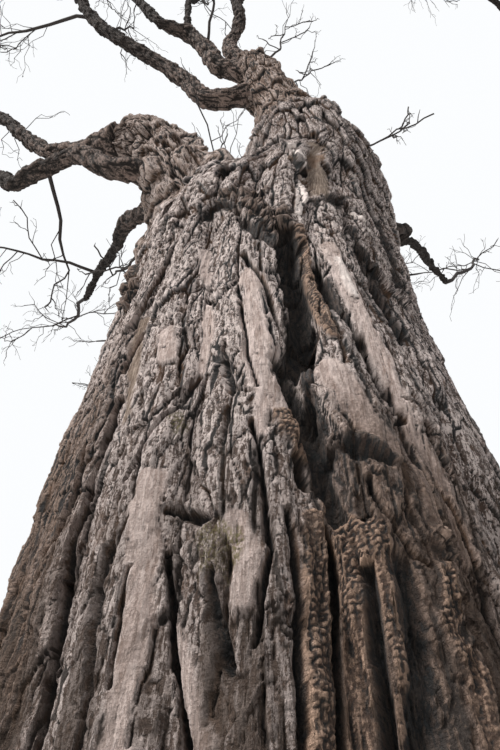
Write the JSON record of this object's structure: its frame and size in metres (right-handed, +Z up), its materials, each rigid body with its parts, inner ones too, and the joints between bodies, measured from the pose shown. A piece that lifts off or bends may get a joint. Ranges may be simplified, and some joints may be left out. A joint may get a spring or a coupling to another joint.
{
  "type": "bare winter tree",
  "caption": "Old bare broad-leaved tree in winter: a thick furrowed trunk with root flare, forked stems, crooked boughs and open masses of bare twigs.",
  "frame": {"origin": "centre of the flat cut under the trunk, at ground level", "axes": "+Z up along the trunk; -Y towards the side the picture looks at; +X to the right from there"},
  "size_m": [9.7577, 9.2963, 12.5451],
  "materials": {
    "trunk_bark": "deeply furrowed rough bark",
    "limb_bark": "scaly rough bark",
    "twig_bark": "matte twig bark"
  },
  "bodies": {
    "root": {"back_left_bough": "limb_bark", "back_left_side_twigs": "twig_bark", "back_left_tip_twigs": "twig_bark", "back_low_bough": "limb_bark", "back_low_side_twigs": "twig_bark", "back_low_tip_twigs": "twig_bark", "back_right_bough": "limb_bark", "back_right_tip_twigs": "twig_bark", "back_right_upper_twigs": "twig_bark", "back_top_bough": "limb_bark", "back_top_tip_twigs": "twig_bark", "crotch_twigs": "twig_bark", "front_arch_bough": "limb_bark", "front_arch_outer_twigs": "twig_bark", "front_arch_tip_twigs": "twig_bark", "front_left_bough": "limb_bark", "front_left_outer_twigs": "twig_bark", "front_left_tip_twigs": "twig_bark", "leader": "limb_bark", "leader_right_twigs": "twig_bark", "leader_top_twigs": "twig_bark", "left_back_bough": "limb_bark", "left_back_side_twigs": "twig_bark", "left_back_tip_twigs": "twig_bark", "left_high_bough": "limb_bark", "left_high_inner_twigs": "twig_bark", "left_high_tip_twigs": "twig_bark", "left_high_upper_twigs": "twig_bark", "left_low_bough": "limb_bark", "left_low_drooping_twigs": "twig_bark", "left_low_front_twigs": "twig_bark", "left_low_tip_twigs": "twig_bark", "left_stem": "trunk_bark", "right_arch_bough": "limb_bark", "right_arch_tip_twigs": "twig_bark", "right_arch_upper_twigs": "twig_bark", "right_back_bough": "limb_bark", "right_back_tip_twigs": "twig_bark", "right_front_bough": "limb_bark", "right_front_outer_twigs": "twig_bark", "right_front_tip_twigs": "twig_bark", "right_hanging_bough": "limb_bark", "right_hanging_outer_twigs": "twig_bark", "right_hanging_tip_twigs": "twig_bark", "right_stem": "trunk_bark", "shoulder_twigs": "twig_bark", "top_bough": "limb_bark", "top_left_bough": "limb_bark", "top_left_spur_twigs": "twig_bark", "top_left_tip_twigs": "twig_bark", "top_middle_bough": "limb_bark", "top_middle_tip_twigs": "twig_bark", "top_tip_twigs": "twig_bark", "trunk": "trunk_bark", "trunk_left_twigs": "twig_bark", "upper_left_bough": "limb_bark", "upper_left_inner_twigs": "twig_bark", "upper_left_outer_twigs": "twig_bark", "upper_left_tip_twigs": "twig_bark"}
  },
  "joints": []
}
